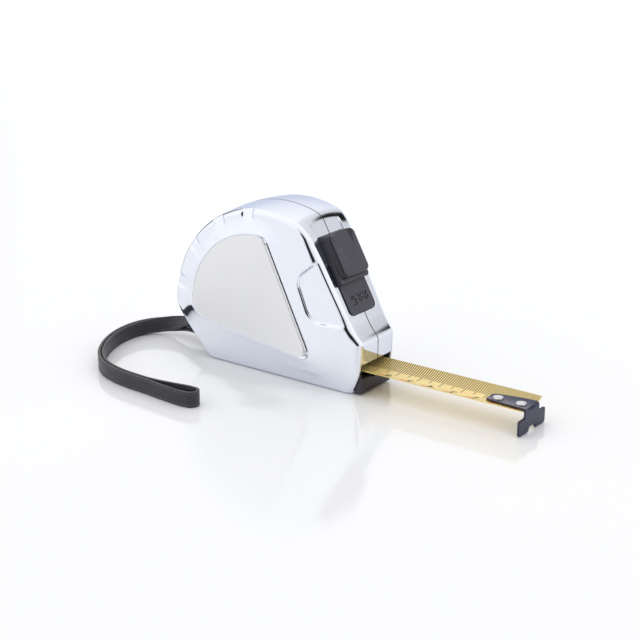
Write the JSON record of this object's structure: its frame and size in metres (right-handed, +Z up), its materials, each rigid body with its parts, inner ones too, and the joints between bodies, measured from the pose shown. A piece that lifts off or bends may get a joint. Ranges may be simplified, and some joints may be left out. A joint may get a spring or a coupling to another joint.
{
  "type": "pocket tape measure",
  "caption": "Pocket tape measure with a rounded chromed case, spring reel, cupped printed blade with end hook, sloping thumb lock and wrist strap.",
  "frame": {"origin": "middle of the case's flat underside, on the case's mid-plane", "axes": "+X is the way the blade is pulled out, +Y is the case's left side across its width, +Z is up"},
  "size_m": [0.1924, 0.0777, 0.0709],
  "materials": {
    "chromed_case": "mirror chrome plating",
    "side_plate": "mirror chrome plating",
    "bumper_plastic": "satin moulded",
    "slider_plastic": "fine-grained satin",
    "clip_plastic": "moulded",
    "lever_plastic": "moulded",
    "pad_rubber": "matt",
    "bright_steel": "ground",
    "spring_wire": "drawn wire",
    "spring_strip": "blued strip",
    "reel_plastic": "moulded",
    "blade_paint": "satin lacquer",
    "hook_steel": "black oxide",
    "strap_fabric": "woven"
  },
  "bodies": {
    "case": {"case_right": "chromed_case", "case_left": "chromed_case", "side_plate_right": "side_plate", "side_plate_left": "side_plate", "front_bumper": "bumper_plastic", "lever_pin": "bright_steel", "lever_spring": "spring_wire", "centre_post": "bright_steel", "power_spring": "spring_strip", "blade_tail": "blade_paint", "case_screws": "bright_steel", "strap_pin": "bright_steel", "strap_keeper": "strap_fabric", "wrist_strap": "strap_fabric"},
    "reel": {"reel": "reel_plastic", "spring_cover": "reel_plastic", "blade_coil": "blade_paint"},
    "blade": {"blade": "blade_paint", "hook_rivets": "bright_steel"},
    "hook": {"end_hook": "hook_steel"},
    "slider": {"lock_slider": "slider_plastic", "slider_clip": "clip_plastic"},
    "lever": {"brake_lever": "lever_plastic", "brake_pad": "pad_rubber"}
  },
  "joints": [
    {"name": "blade_slide", "type": "slide", "parent": "case", "child": "blade", "axis": [1, 0, 0], "range_m": [-0.0688, 4.93], "deforming": ["blade_tail"]},
    {"name": "reel_spin", "type": "hinge", "parent": "case", "child": "reel", "pos_m": [-0.003, 0, 0.0368], "axis": [0, 1, 0], "range_deg": [-11078.2, 155.6]},
    {"name": "hook_play", "type": "slide", "parent": "blade", "child": "hook", "axis": [1, 0, 0], "range_m": [0, 0.001]},
    {"name": "lock_slide", "type": "slide", "parent": "case", "child": "slider", "axis": [-0.4848, 0, 0.8746], "range_m": [0, 0.005], "stiffness_N_per_m": 400},
    {"name": "lever_turn", "type": "hinge", "parent": "case", "child": "lever", "pos_m": [0.033, 0, 0.024], "axis": [0, 1, 0], "range_deg": [0, 8.7]}
  ],
  "couplings": [
    {"joint": "reel_spin", "follows": "blade_slide", "rad_per_m": -39.216},
    {"joint": "lever_turn", "follows": "lock_slide", "rad_per_m": 30}
  ]
}
